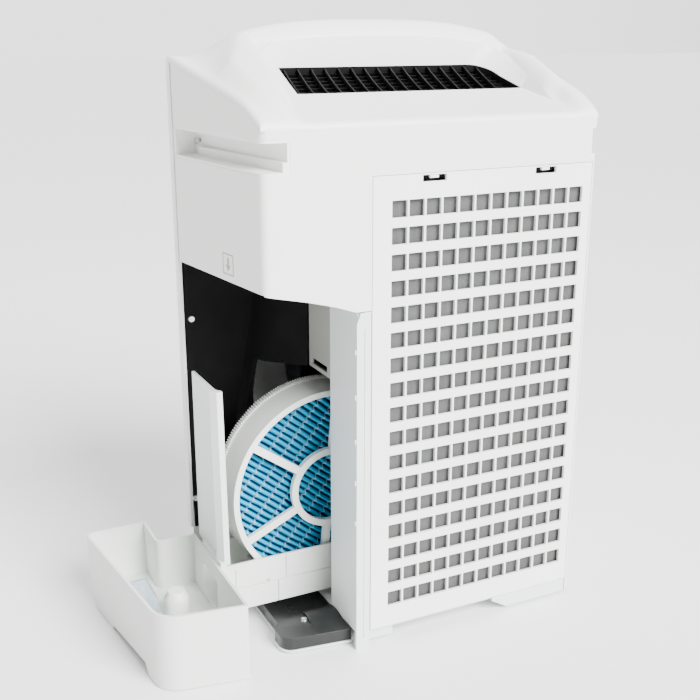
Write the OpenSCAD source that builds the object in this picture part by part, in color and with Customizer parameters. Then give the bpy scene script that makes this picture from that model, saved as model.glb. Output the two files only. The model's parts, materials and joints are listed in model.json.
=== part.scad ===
// Humidifying air purifier: a floor-standing cabinet with a rear intake grille,
// a stack of filters, a centrifugal fan and a water tray that slides out of the side.
// The tray is drawn pulled out. Millimetres, +Z up, the front of the cabinet faces -Y.

/* [Cabinet] */
// Width across the back of the cabinet
rear_w = 354; // [346:1:356]
// Width across the cabinet where the front panel starts
front_w = 401; // [398:1:404]
// Height of the cover's rear edge
rear_h = 530; // [529:0.5:531]
// Height of the outlet hood's crest
crest_h = 617; // [612:1:620]
// Thickness of the moulded walls
wall = 3; // [2.6:0.1:3.2]

/* [Rear panel] */
// Number of intake holes in a row
hole_cols = 12; // [10:1:12]
// Number of rows of intake holes
hole_rows = 17; // [14:1:17]
// Side of one square intake hole
hole_size = 15.75; // [14:0.25:16]
// Distance between the centres of neighbouring columns
col_pitch = 18; // [17.5:0.1:18]
// Distance between the centres of neighbouring rows
row_pitch = 25; // [24:0.1:25]

/* [Tray] */
// How far the tray stands out of its closed position
tray_out = 104; // [100:1:106]
// Height of the basin's rim
rim_h = 81; // [76:1:82]
// Height of the basin's inner floor
basin_floor = 24; // [23.5:0.5:28]

/* [Humidifier wheel] */
// Radius over the wheel's rim teeth
wheel_r = 110.4; // [108:0.2:110.4]
// Number of teeth around the rim
rim_teeth = 240; // [180:10:260]
// Number of spokes
spokes = 6; // [5:1:7]

/* [Fan] */
// Radius of the fan wheel
fan_r = 88; // [80:1:90]
// Number of fan blades
blades = 30; // [20:1:36]

/* [Controls] */
// Number of touch keys
key_count = 5; // [3:1:5]
// Radius of one key
key_r = 6.9; // [6:0.1:7]

/* [Hidden] */

$fn = 48;
eps = 0.01;

// colours
white = [0.93, 0.94, 0.92];
pale_grey = [0.66, 0.67, 0.65];
dark = [0.12, 0.12, 0.12];
charcoal = [0.28, 0.29, 0.29];
steel = [0.7, 0.71, 0.72];
media_blue = [0.25, 0.62, 0.8];

// The frame's origin is under the middle of the whole object, tray included.
frame_shift = [-53.6, 2.2, 0];

// cabinet
rear_y = 115;
split_y = -62.5;
front_y = -116;
front_bulge = 3;
slope_k = 0.235;
cover_rim = 6;
grille_l = 70.4;
grille_r = -173.6;
grille_z0 = 18.6;
grille_z1 = 481;
bay_x = 84;
bay_top = 382.6;

// outlet hood
crest_y = -20;
ridge_y = -32;
crest_k = 4.5e-6;
arm_end_y = 113;
front_drop = 36;
side_rise = 11;
side_fall_y = 55;
hood_edge = 55;
arm_edge = 25;
well_far = [-123, 103];
well_mid = [-150, 128];
well_near = [-158, 136];
well_mid_y = 75;
flank_rise = 32;
rim_drop = 16;
rim_width = 18;
lip_y = 32;
louver_slope = 0.42;

// tray, wheel and fan places
wheel_x = 74;
wheel_z = 144;
drum_r = 108;
trough_y0 = -27;
trough_y1 = 33;
trough_x0 = -41;
trough_z0 = 28;
groove_y = 31.7;
basin_x = 200;
guard_top = 268;
guard_lean = 5;
hub_r = 44;
roller_r = 8;
roller_angle = 40;
pin_r = 2;
fan_x = -35;
fan_z = 250;
pinion_r = 12;
pinion_teeth = 26;

// control plate
panel_y = -86;
panel_tilt = 24.2;

// ---- helpers -------------------------------------------------------------

function unit(v) = v / norm(v);
function xy(v) = [v.x, v.y];

// Arc of radius r that rounds corner b between neighbours a and c.
function corner_arc(a, b, c, r, n) =
    let (u = unit(a - b), w = unit(c - b), half = acos(u * w) / 2,
         centre = b + unit(u + w) * r / sin(half),
         p = b + u * r / tan(half) - centre, q = b + w * r / tan(half) - centre,
         t0 = atan2(p.y, p.x), sweep = (atan2(q.y, q.x) - t0 + 540) % 360 - 180)
    [for (i = [0:n]) centre + r * [cos(t0 + sweep * i / n), sin(t0 + sweep * i / n)]];

// Closed outline from corners [x, y, radius], given anticlockwise.
function rounded(v, n = 6) =
    let (m = len(v))
    [for (i = [0:m - 1])
        each v[i].z == 0 ? [xy(v[i])]
            : corner_arc(xy(v[(i + m - 1) % m]), xy(v[i]), xy(v[(i + 1) % m]), v[i].z, n)];

// The same corners moved inward by d.
function inset(v, d) =
    let (m = len(v))
    [for (i = [0:m - 1])
        let (a = xy(v[(i + m - 1) % m]), b = xy(v[i]), c = xy(v[(i + 1) % m]),
             u = unit(b - a), w = unit(c - b), n1 = [-u.y, u.x], n2 = [-w.y, w.x],
             p = b + d * (n1 + n2) / (1 + n1 * n2),
             r = cross(u, w) > 0 ? v[i].z - d : v[i].z + d)
        [p.x, p.y, v[i].z == 0 || r < 0.3 ? 0 : r]];

module seat() translate(frame_shift) children();

// Extrudes a Y-Z profile from x0 to x1.
module yz(x0, x1) translate([x0, 0, 0]) rotate([90, 0, 90]) linear_extrude(x1 - x0) children();

// Extrudes an X-Z profile from y0 to y1.
module xz(y0, y1) translate([0, y1, 0]) rotate([90, 0, 0]) linear_extrude(y1 - y0) children();

// Extrudes a plan from z0 to z1.
module plan(z0, z1) translate([0, 0, z0]) linear_extrude(z1 - z0) children();

// Box between two corners.
module block(a, b) translate(a) cube(b - a);

// Cylinder along Y from y0 to y1.
module rod_y(r, y0, y1) translate([0, y0, 0]) rotate([-90, 0, 0]) cylinder(r = r, h = y1 - y0);

// ---- cabinet surfaces ----------------------------------------------------

// Half width of the cabinet at depth y.
function half_w(y) =
    y >= split_y
        ? rear_w / 2 + (front_w - rear_w) / 2 * (rear_y - y) / (rear_y - split_y)
        : front_w / 2 - 0.0065 * pow(split_y - y, 2);

// Height of the cover's plain slope, between the hood's arms.
function slope_z(y) = rear_h + slope_k * (rear_y - y);

// Height of the cover's side edge, which drops to the slope at the rear corner.
function side_z(y) =
    let (t = max(0, (y - side_fall_y) / (rear_y - side_fall_y)))
    slope_z(max(y, split_y)) + side_rise - (side_rise - 0.6) * t * t * t
        - 0.03 * max(0, split_y - y);

// Share of the hood's height that is left at distance e from the cover's side edge.
function edge_share(e, y) =
    let (width = y < crest_y ? hood_edge
             : max(arm_edge, hood_edge - (hood_edge - arm_edge) * (y - crest_y) / 40),
         t = min(1, max(0, e) / width))
    t * t * (3 - 2 * t);

// Distance of a point from the outlet's rim, which runs round its far side and both flanks.
function rim_gap(x, y) =
    norm([max(0, x > 0 ? x - well_mid[1] : well_mid[0] - x), max(0, crest_y - y)]);

// Height of the hood's surface before the outlet well is cut.
function hood_z(x, y) =
    let (side = side_z(y), crest = crest_h - crest_k * pow(abs(x), 3),
         top = y >= crest_y
            ? side + (crest - side_z(crest_y))
                * max(0, (arm_end_y - y) / (arm_end_y - crest_y))
            : crest - front_drop
                * pow(max(0, ridge_y - y) / (ridge_y - front_y), 1.5))
    side + (top - side) * edge_share(half_w(y) - abs(x), y)
        - rim_drop * pow(max(0, 1 - rim_gap(x, y) / rim_width), 2)
            * min(1, max(0, (rear_y - y) / 40));

// Solid under the hood surface, lowered and drawn in by d.
module hood_solid(d) {
    cols = 56;
    rows = [for (i = [0:36]) rear_y - d - (rear_y - front_y - 2 * d) * i / 36];
    n = cols + 1;
    m = len(rows);
    us = [for (i = [0:cols]) sin(90 * (2 * i / cols - 1))];
    floor_z = rear_h - 45;
    tops = [for (y = rows) for (u = us)
        let (h = half_w(y) - d, x = u * h) [x, y, hood_z(x, y) - d]];
    bottoms = [for (p = tops) [p.x, p.y, floor_z]];
    k = n * m;
    polyhedron(
        points = concat(tops, bottoms),
        faces = concat(
            [for (j = [0:m - 2]) for (i = [0:n - 2]) each [
                [j * n + i, j * n + i + 1, (j + 1) * n + i + 1],
                [j * n + i, (j + 1) * n + i + 1, (j + 1) * n + i]]],
            [for (j = [0:m - 2]) for (i = [0:n - 2]) each [
                [k + j * n + i, k + (j + 1) * n + i + 1, k + j * n + i + 1],
                [k + j * n + i, k + (j + 1) * n + i, k + (j + 1) * n + i + 1]]],
            [for (i = [0:n - 2]) each [[i + 1, i, k + i], [i + 1, k + i, k + i + 1]]],
            [for (i = [0:n - 2]) let (o = (m - 1) * n) each [
                [o + i, o + i + 1, k + o + i], [o + i + 1, k + o + i + 1, k + o + i]]],
            [for (j = [0:m - 2]) let (o = j * n) each [
                [o, o + n, k + o], [o + n, k + o + n, k + o]]],
            [for (j = [0:m - 2]) let (o = j * n + n - 1) each [
                [o + n, o, k + o], [o + n, k + o, k + o + n]]]
        ),
        convexity = 6);
}

// Everything above the joint between casing and cover.
module above_joint()
    yz(-210, 210)
        polygon(concat([[125, 700], [-125, 700]],
            [for (y = [-125, split_y, 0, each [side_fall_y:12:rear_y], rear_y, 125])
                [y, side_z(min(y, rear_y)) - cover_rim]]));

// Plan of the outlet well and of the plain slope behind it, grown by d.
module well_plan(d)
    polygon(rounded(inset([[well_far[0], crest_y, 14], [well_far[1], crest_y, 14],
                           [well_mid[1], well_mid_y, 0], [well_near[1], rear_y + 8, 0],
                           [well_near[0], rear_y + 8, 0], [well_mid[0], well_mid_y, 0]], -d)));

// Plan of the cabinet's sides and back, drawn in by d.
function cabinet_corners(d) = inset([
    [-front_w / 2, split_y, 0], [front_w / 2, split_y, 0],
    [rear_w / 2, rear_y, 8], [-rear_w / 2, rear_y, 3]], d);

// ---- base ----------------------------------------------------------------

// Outline of the slab that carries the fan and the filters.
slab = [[-183, -100, 6], [133, -100, 4], [133, -58, 0], [83.5, -58, 0], [83.5, 50.4, 0],
        [80.5, 50.4, 0], [80.5, 109, 0], [-172.5, 109, 0], [-193, -60, 0]];

module base_pan() color(white) seat() {
    plan(14, 17.5) polygon(rounded(slab));
    xz(70, 114) polygon([[-173.5, 3], [-97, 3], [-78, 14.2], [-78, 18.2], [-173.5, 18.2]]);
    block([-170, -96, 3], [-110, -60, 14.2]);
    block([60, -96, 3], [128, -62, 14.2]);
    block([40, 60, 3], [70, 106, 14.2]);
}

module foot_pads() color(charcoal) seat() {
    for (p = [[-137, 92], [-140, -78], [94, -79], [55, 84]])
        translate([p.x, p.y, 0]) cylinder(r = 9, h = 3);
    translate([138, 70, 0]) cylinder(r = 7, h = 1.5);
    translate([138, -30, 0]) cylinder(r = 7, h = 1.5);
}

// Outline of the platform that the tray slides over.
platform = [[84.4, -46, 0], [149, -46, 6], [149, 58, 2], [156, 66, 2], [156, 90.4, 13],
            [84.4, 99.6, 0]];
platform_screw = [122, 64];

module platform_pan() color(white) seat()
    difference() {
        plan(1.5, 4) polygon(rounded(inset(platform, -1.4)));
        block([60, -60, 0], [84.2, 110, 10]);
    }

module tray_platform() color(charcoal) seat()
    difference() {
        union() {
            plan(4, 17) polygon(rounded(platform));
            translate([84.4, 62, 17]) intersection() {
                translate([0, 0, -36.6]) rotate([0, 90, 0]) cylinder(r = 40, h = 34);
                block([0, -30, -1], [34, 30, 6]);
            }
        }
        translate([platform_screw.x, platform_screw.y, 10]) cylinder(r = 1.65, h = 10);
    }

// ---- casing --------------------------------------------------------------

// Plans of the hand grips' pockets, from the cabinet's side to an inner wall.
grip_z = [487, 517];
module grip_left(d)
    polygon([[210, -60 + d], [178, -60 + d], [150 + d, rear_y + 2], [210, rear_y + 2]]);
module grip_right(d)
    polygon([[-210, -60 + d], [-178, -60 + d], [-169 - d, rear_y + 2], [-210, rear_y + 2]]);

inlet_at = [-189.2, 20, 60];
sensor_at = [-190, 10, 420];
flare = atan2((front_w - rear_w) / 2, rear_y - split_y);

module main_casing() color(white) seat()
    difference() {
        plan(3, 640) polygon(rounded(cabinet_corners(0)));
        difference() {
            plan(0, 650) polygon(rounded(cabinet_corners(wall)));
            xz(111, 120) polygon([[bay_x + 1, bay_top - 22], [180, bay_top], [180, 700], [71, 700],
                                  [71, bay_top - 25]]);
        }
        above_joint();
        block([-230, -80, -1], [230, split_y + wall, 660]);
        // opening for the filters
        block([-174, 100, -1], [71, 130, grille_z1 + 0.5]);
        // opening for the tank and the tray, its rear edge drops in a shallow arch
        xz(110, 120) polygon([[60, -1], [60, 357], [87, 357.5], [107.8, 364.8], [135.9, 372.5],
                              [181, bay_top], [181, -1]]);
        block([120, -70, -1], [210, 112, bay_top]);
        plan(grip_z[0], grip_z[1]) grip_left(0);
        plan(grip_z[0], grip_z[1]) grip_right(0);
        translate(inlet_at) rotate([0, 0, -flare]) cube([12, 26.4, 20.4], center = true);
        translate(sensor_at) rotate([0, 0, -flare]) cube([16, 30.4, 24.4], center = true);
    }

module handle_cup_left() color(white) seat()
    difference() {
        intersection() {
            plan(grip_z[0], grip_z[1]) grip_left(0);
            plan(grip_z[0], grip_z[1]) polygon(rounded(cabinet_corners(0.4)));
        }
        difference() {
            plan(grip_z[0] + 2.5, grip_z[1] - 2.5) grip_left(2.5);
            // ledge along the inner wall
            plan(grip_z[0], grip_z[0] + 11)
                polygon([[150, rear_y + 2], [178, -40], [182, -40], [157, rear_y + 2]]);
        }
        translate([178, -49, 503]) rotate([0, 90, 0]) cylinder(r = 1.65, h = 12, center = true);
    }

module handle_cup_right() color(white) seat()
    difference() {
        intersection() {
            plan(grip_z[0], grip_z[1]) grip_right(0);
            plan(grip_z[0], grip_z[1]) polygon(rounded(cabinet_corners(0.4)));
        }
        plan(grip_z[0] + 2.5, grip_z[1] - 2.5) grip_right(2.5);
        translate([-178, -49, 503]) rotate([0, 90, 0]) cylinder(r = 1.65, h = 12, center = true);
    }

// Pan-head screw along +Z, its head resting on z = 0.
module screw() {
    difference() {
        cylinder(r1 = 3.6, r2 = 2.9, h = 2);
        for (a = [0, 90]) rotate([0, 0, a]) translate([-2, -0.4, 1]) cube([4, 0.8, 2]);
    }
    translate([0, 0, -2.4]) cylinder(r = 1.6, h = 2.5);
}

wall_screws = [[190, 320], [194, 118]];
module case_screws() color(steel) seat() {
    translate([platform_screw.x, platform_screw.y, 17]) screw();
    for (p = wall_screws) translate([p.x, split_y, p.y]) rotate([-90, 0, 0]) screw();
    translate([180.2, -49, 503]) rotate([0, 90, 0]) screw();
    translate([-180.2, -49, 503]) rotate([0, -90, 0]) screw();
}

// Box around the filters, with the wall that closes it off from the tank bay.
module filter_housing() color(white) seat()
    difference() {
        union() {
            block([-170.5, 56, 24], [bay_x, 103, 478]);
            block([bay_x - 2.5, 50.5, 17.5], [bay_x, 110.6, 384]);
            xz(110.5, 114.5) polygon([[71.2, 0], [86, 0], [86, 346], [82, 356], [71.2, 356.4]]);
            for (z = [140, 183, 226, 271, 316]) block([85, 110.5, z], [87.4, 113.6, z + 5]);
        }
        block([-168, 58, 26.5], [69, 110, 475.5]);
        block([-160, 50, 34.5], [61, 60, 467.5]);
        block([71.5, 50, 26.5], [bay_x - 2.5, 104, 475.5]);
        block([60, 40, 384], [90, 110.6, 480]);
        // groove along the edge strip
        block([77.6, 113.7, 12], [78.6, 115, 340]);
    }

// Dark moulding around the front and the inner side of the tank bay.
module bay_liner() color(dark) seat()
    difference() {
        union() {
            block([112, split_y - 2.5, 84], [front_w / 2 - 4.6, split_y, 384]);
            block([100, split_y - 2.5, 18], [134, split_y, 84.5]);
            hull() {
                translate([bay_x, -4, 18]) cube([2, 2, 366]);
                translate([112, split_y - 2, 382]) cube([2, 2, 2]);
                translate([146, split_y - 2, 182]) cube([2, 2, 2]);
                translate([132, split_y - 2, 100]) cube([2, 2, 2]);
                translate([100, split_y - 2, 18]) cube([2, 2, 2]);
            }
            plan(384, 386.5)
                polygon([[bay_x, -4], [bay_x, 108], [174, 108], [front_w / 2 - 4, split_y - 2.5],
                         [112, split_y - 2.5]]);
        }
        // hollow behind the slanted cheek
        hull() {
            translate([bay_x - 4, -7.5, 17]) cube([2, 2, 369.5]);
            translate([60, split_y - 6, 17]) cube([2, 2, 369.5]);
            translate([109, split_y - 6, 382.5]) cube([2, 2, 2]);
            translate([143, split_y - 6, 182]) cube([2, 2, 2]);
            translate([129, split_y - 6, 100]) cube([2, 2, 2]);
            translate([97, split_y - 6, 17]) cube([2, 2, 2]);
        }
        // slot for the tray, its guard and the wheel
        block([60, -50.5, 10], [160, 60, 272]);
        block([134, -70, 10], [210, -50, 84]);
        block([92, -54, 10], [210, -50, 84]);
        for (p = wall_screws) translate([p.x, split_y + 1, p.y]) rotate([90, 0, 0])
            cylinder(r = 1.65, h = 8);
    }

// Grey wall above the wheel's slot.
module inlet_cheek() color(pale_grey) seat()
    difference() {
        block([bay_x - 2.5, -1.5, 272.5], [bay_x - 0.2, 50.3, 383.8]);
        block([80, 6, 277], [90, 42, 283]);
    }

// ---- cover and outlet ----------------------------------------------------

// Places children on the tilted control plate, local Z along its normal.
function panel_z(y) = 582.5 + (y + 110) * tan(panel_tilt);
module on_panel() translate([0, panel_y, panel_z(panel_y)]) rotate([panel_tilt, 0, 0]) children();
module panel_block(g, z0, z1)
    on_panel() translate([-79 - g, -24 - g, z0]) cube([158 + 2 * g, 48 + 2 * g, z1 - z0]);

// Y-Z profile of the outlet well: open above the slope, and cut right through in front of the lip.
module well_profile(d, depth)
    yz(-210, 210)
        polygon([[-60, slope_z(-60) - depth], [lip_y + d, slope_z(lip_y + d) - depth],
                 [lip_y + d, slope_z(lip_y + d) - d], [130, slope_z(130) - d], [130, 700],
                 [-60, 700]]);

// Space over one slanting flank of the outlet well, at the side x0 to x1.
module flank_space(x0, x1)
    hull() for (p = [[x0, crest_y + 0.4, 0], [x1, well_mid_y, 0], [x1, crest_y + 0.4, flank_rise]])
        translate([p.x, p.y, slope_z(p.y) + p.z]) cylinder(r = eps, h = 120, $fn = 3);

module top_cover() color(white) seat()
    resize([0, 0, 0]) difference() {
        intersection() {
            hood_solid(0);
            above_joint();
        }
        difference() {
            hood_solid(wall);
            intersection() {
                plan(400, 700) well_plan(2.5);
                well_profile(2.5, 15);
            }
            panel_block(4, -7, 20);
        }
        intersection() {
            plan(400, 700) well_plan(0);
            well_profile(0, 120);
        }
        flank_space(well_far[0], well_mid[0]);
        flank_space(well_far[1], well_mid[1]);
        panel_block(0.3, -2.2, 30);
        panel_block(-5, -12, 30);
    }

// Black curved fins and cross slats that fill the outlet well.
louver_fins = 15;
fin_pitch = 14.5;
fin_bow = 4.7;
louver_slats = 7;
module outlet_louver() color(dark) seat()
    intersection() {
        plan(400, 700) intersection() {
            well_plan(-0.3);
            translate([-200, -60]) square([400, 60 + lip_y - 0.3]);
        }
        translate([0, lip_y, slope_z(lip_y)]) rotate([-atan(louver_slope), 0, 0]) union() {
            for (i = [0:louver_fins]) translate([i * fin_pitch - 119, 0, -12])
                linear_extrude(11) polygon(fin_outline());
            for (i = [0:louver_slats - 1]) translate([0, -4.6 - i * 7.8, 0])
                block([-145, 0, -11], [125, 1.2, -5]);
            difference() {
                block([-145, -70, -13], [125, 2, -7]);
                block([-118, -52, -14], [98, -3, -6]);
            }
        }
    }

// Plan of one fin, bowed towards the right.
function fin_outline() =
    let (ys = [for (i = [0:6]) -66 * i / 6],
         bow = function(y) fin_bow * (1 - pow(y / 56, 2)))
    concat([for (y = ys) [bow(y), y]], [for (i = [6:-1:0]) [bow(ys[i]) + 1.5, ys[i]]]);

// ---- front and controls --------------------------------------------------

// Plan of the removable front panel: its two flanks and its slightly bowed face.
face_half = 176;
function flank(i) =
    let (y = split_y - 0.3 + (front_y + 4 - split_y) * i / 10)
    [half_w(y), y];
function front_face() =
    [for (i = [0:12]) let (u = 1 - i / 6) [face_half * u, front_y - front_bulge * (1 - u * u)]];
function front_plan() = concat(
    [for (i = [0:10]) flank(i)], front_face(),
    [for (i = [10:-1:0]) [-flank(i).x, flank(i).y]]);

module front_panel() color(white) seat()
    difference() {
        plan(6, 600) polygon(front_plan());
        plan(0, 610) polygon([for (p = front_plan())
            [p.x - wall * sign(p.x), p.y < -70 ? p.y + wall : p.y + 10]]);
        above_joint();
        // corner where the closed tray comes through
        block([134, -112.6, 0], [210, -50, 84]);
        block([-42, -130, 468], [42, -110, 478]);
    }

module indicator_lens() color([0.75, 0.85, 0.9]) seat()
    block([-41.8, front_y - 2.4, 468.2], [41.8, front_y + 0.2, 477.8]);

module control_plate() color(charcoal) seat()
    difference() {
        panel_block(0, -2, 0);
        for (i = [0:key_count - 1]) key_place(i) translate([0, 0, -5]) cylinder(r = key_r + 0.3, h = 10);
        on_panel() block([-36, 6, -5], [36, 18, 5]);
    }

// Place of key i on the control plate.
module key_place(i) on_panel() translate([(i - (key_count - 1) / 2) * 28, -10, 0]) children();

module key(i) color(white) seat() key_place(i) {
    translate([0, 0, -3.2]) cylinder(r = key_r, h = 4);
    translate([0, 0, -4.2]) cylinder(r = key_r - 2, h = 1.2);
}

module display_window() color([0.1, 0.12, 0.14]) seat()
    on_panel() block([-35.8, 6.2, -1.8], [35.8, 17.8, 0.2]);

module control_board() color([0.1, 0.35, 0.2]) seat()
    on_panel() block([-72, -17, -8], [72, 17, -6.4]);

// ---- rear panel and filters ----------------------------------------------

tab_slots = [[-6, 19], [-130, -106]];
pivot_r = 1.7;

module rear_panel() color(white) seat()
    difference() {
        union() {
            block([grille_r, 111.6, grille_z0 + pivot_r], [grille_l, rear_y, grille_z1]);
            // rounded lower edge that the panel turns on
            translate([grille_r, rear_y - pivot_r, grille_z0 + pivot_r]) rotate([0, 90, 0])
                cylinder(r = pivot_r, h = grille_l - grille_r);
            block([grille_r, 104.4, 27], [grille_r + 2, 112, 475]);
            block([grille_l - 2, 104.4, 27], [grille_l, 112, 475]);
            block([grille_r, 104.4, 27], [grille_l, 112, 29]);
        }
        for (i = [0:hole_cols - 1]) for (j = [0:hole_rows - 1])
            translate([42.75 - col_pitch * i, rear_y, 450 - row_pitch * j])
                cube([hole_size, 20, hole_size], center = true);
        for (s = tab_slots) block([s[0], 100, 473.3], [s[1], 120, 479.4]);
    }

module prefilter_mesh() color(pale_grey) seat()
    block([-171, 107.4, 29.2], [68, 109.4, 466]);

module panel_tab(s) color(white) seat() {
    mid = (s[0] + s[1]) / 2;
    block([mid - 4.5, 108.6, 476.3], [mid + 4.5, 114.4, 479.1]);
    block([s[0] + 0.5, 108.6, 476.3], [s[1] - 0.5, 111, 480.4]);
}

module carbon_filter() color(charcoal) seat() block([-167.4, 93, 27], [68.4, 102.6, 475]);

module hepa_filter() color([0.9, 0.9, 0.86]) seat() block([-167.4, 58.6, 27], [68.4, 92.4, 475]);

// ---- fan -----------------------------------------------------------------

module fan_bulkhead() color(white) seat()
    difference() {
        block([-188, -33, 17.5], [81, -30.5, 387]);
        translate([fan_x, 0, fan_z]) rod_y(70, -40, -20);
        block([-112, -40, 300], [-90, -20, 330]);
    }

// Radius of the scroll at angle t, which runs clockwise from the tongue.
function scroll_r(t, d) = 96 + 24 * t / 270 - d;
module scroll_outline(d)
    polygon(concat(
        [for (t = [0:6:270]) [fan_x + scroll_r(t, d) * sin(t), fan_z + scroll_r(t, d) * cos(t)]],
        [[fan_x - 120 + d, 385 + d], [fan_x - 8 - d, 385 + d], [fan_x - 8 - d, fan_z + 96 - d]]));

module fan_scroll() color(pale_grey) seat()
    difference() {
        xz(-105, -33.4) scroll_outline(0);
        xz(-102.5, -35.9) scroll_outline(2.5);
        translate([fan_x, 0, fan_z]) rod_y(68, -40, -30);
        translate([fan_x, 0, fan_z]) rod_y(20, -110, -100);
        block([fan_x - 117.5, -102.5, 380], [fan_x - 10.5, -35.9, 390]);
    }

module fan_motor() color(steel) seat() translate([fan_x, 0, fan_z])
    difference() {
        union() {
            rod_y(36, -102.4, -88);
            rod_y(19.5, -108, -102);
            rod_y(12, -88.1, -85.5);
        }
        rod_y(4.05, -120, -80);
    }

module fan_shaft() color(steel) seat() translate([fan_x, 0, fan_z]) rod_y(4, -106, -58);

module fan_wheel() color(charcoal) seat() translate([fan_x, 0, fan_z])
    difference() {
        union() {
            rod_y(fan_r, -84, -82);
            rod_y(12, -84, -62);
            difference() {
                rod_y(fan_r, -44, -41);
                rod_y(fan_r - 16, -45, -40);
            }
            for (i = [0:blades - 1])
                rotate([0, 360 * i / blades, 0]) translate([fan_r - 8, -83, 0]) rotate([0, 38, 0])
                    translate([-8, 0, -0.7]) cube([15, 40, 1.4]);
        }
        rod_y(4, -90, -60);
    }

module fan_nut() color(steel) seat() translate([fan_x, 0, fan_z])
    difference() {
        translate([0, -62, 0]) rotate([-90, 0, 0]) cylinder(r = 8, h = 5, $fn = 6);
        rod_y(4, -63, -50);
    }

// Duct from the scroll up to the outlet.
module air_duct() color(pale_grey) seat()
    difference() {
        hull() {
            block([fan_x - 120, -105, 387.7], [fan_x - 8, -33.4, 392]);
            block([-120, -18, 534], [98, 24, 536]);
        }
        hull() {
            block([fan_x - 117.5, -102.5, 387], [fan_x - 10.5, -35.9, 392]);
            block([-117.5, -15.5, 534], [95.5, 21.5, 537]);
        }
    }

// ---- electrical ----------------------------------------------------------

module board_posts() color(white) seat()
    for (x = [100, 166], y = [-40, 50])
        translate([x, y, 386.5]) cylinder(r = 3, h = 9.5);

module main_board() color([0.1, 0.35, 0.2]) seat() {
    block([94, -46, 396], [172, 56, 397.6]);
    block([104, -30, 397.6], [132, 4, 417]);
    for (x = [146, 158]) translate([x, -18, 397.6]) cylinder(r = 5, h = 14);
    block([110, 22, 397.6], [150, 40, 405]);
}

module ion_unit() color(charcoal) seat() {
    block([-160, 20, 484], [-110, 50, 500]);
    for (x = [-150, -120]) translate([x, 35, 500]) cylinder(r = 1.2, h = 8);
}

module air_sensor() color(charcoal) seat()
    translate(sensor_at) rotate([0, 0, -flare]) translate([6, -13, -10]) cube([16, 26, 20]);

module sensor_cover() color(white) seat()
    translate(sensor_at) rotate([0, 0, -flare]) difference() {
        translate([-0.6, -15, -12]) cube([3, 30, 24]);
        for (i = [0:5]) translate([-2, -11, -9.5 + i * 3.5]) cube([6, 22, 1.6]);
    }

module power_inlet() color(dark) seat()
    translate(inlet_at) rotate([0, 0, -flare]) difference() {
        translate([-3.4, -13, -10]) cube([18, 26, 20]);
        for (y = [-4.2, 4.2]) translate([-4, y, 0]) rotate([0, 90, 0]) cylinder(r = 4, h = 12);
        translate([-4, -4.2, -4]) cube([12, 8.4, 8]);
    }

// ---- wheel drive ---------------------------------------------------------

pinion_z = wheel_z + wheel_r + pinion_r + 0.5;
pinion_x = wheel_x - tray_out;

module wheel_drive_motor() color(steel) seat() translate([pinion_x, 0, pinion_z])
    difference() {
        union() {
            rod_y(11.5, -8, 14);
            rod_y(4, -9.5, -7.9);
        }
        rod_y(1.55, -12, 0);
    }

module drive_bracket() color(pale_grey) seat() {
    block([pinion_x - 22, -30.5, pinion_z + 16], [pinion_x + 22, 14, pinion_z + 18]);
    for (x = [-22, 12.6])
        block([pinion_x + x, -8, pinion_z - 4], [pinion_x + x + 9.4, -6, pinion_z + 16.1]);
    for (x = [-14, 11.6])
        block([pinion_x + x, -8, pinion_z - 4], [pinion_x + x + 2.4, 12, pinion_z + 16.1]);
}

// Outline with n teeth between radii r0 and r1.
module toothed(r0, r1, n)
    polygon([for (i = [0:n - 1]) for (s = [[0, r0], [0.3, r1], [0.6, r1], [0.9, r0]])
        let (a = 360 * (i + s[0]) / n) s[1] * [cos(a), sin(a)]]);

module drive_pinion() color(white) seat() translate([pinion_x, 0, pinion_z]) {
    xz(-20, -11) toothed(pinion_r - 1.9, pinion_r, pinion_teeth);
    rod_y(1.5, -11.1, -1);
}

// ---- tray ----------------------------------------------------------------

// Corners of the basin, anticlockwise.
basin = [[basin_x, -53, 0], [241, -53, 5], [241, -105, 5], [308, -105, 7], [285, 100, 26],
         [basin_x, 113, 2]];

// Basin between two heights, drawn in by d. Its far wall leans in towards the foot.
module basin_body(d, z0, z1)
    difference() {
        plan(z0, z1) polygon(rounded(inset(basin, d)));
        yz(220, 320)
            polygon([[-130, -1], [-83 + d, -1], [-99 + d, 20], [-105 + d, rim_h], [-130, rim_h]]);
    }

module tray() color(white) seat()
    difference() {
        union() {
            difference() {
                basin_body(0, 1, rim_h);
                basin_body(wall, basin_floor, rim_h + 1);
                basin_body(wall, 0, basin_floor - 2.6);
                // the inner side is open under the floor, so that it clears the platform
                block([basin_x - 1, -49.5, 0], [basin_x + 60, 103.5, basin_floor - 2.6]);
                // finger grip under the outer face
                yz(270, 312) polygon([[-34, 0], [-30, 6], [58, 12], [66, 0]]);
            }
            difference() {
                block([trough_x0, trough_y0, trough_z0], [basin_x + wall, trough_y1, rim_h]);
                block([trough_x0 + 2.5, trough_y0 + 2.5, trough_z0 + 2.5],
                      [basin_x + wall + 1, trough_y1 - 2.5, rim_h + 1]);
            }
        }
        // water way from the basin to the trough
        block([basin_x - 1, trough_y0 + 6, trough_z0 + 2.5], [basin_x + wall + 1, trough_y1 - 6, 64]);
        // moulded grooves in the near wall
        block([trough_x0, groove_y, 52.4], [basin_x, trough_y1 + 1, 53.8]);
        block([184, groove_y, 53], [185.2, trough_y1 + 1, 74]);
        block([128, groove_y, 53], [129.2, trough_y1 + 1, rim_h]);
        block([137, groove_y, trough_z0], [138.2, trough_y1 + 1, 53]);
        for (s = [-1, 1]) roller_place(s) rod_y(pin_r, trough_y0 - 1, trough_y1 + 1);
    }

// Place of the roller on side s of the wheel.
module roller_place(s)
    translate([wheel_x + s * (drum_r + roller_r + 0.3) * sin(roller_angle), 0,
               wheel_z - (drum_r + roller_r + 0.3) * cos(roller_angle)]) children();

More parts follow.
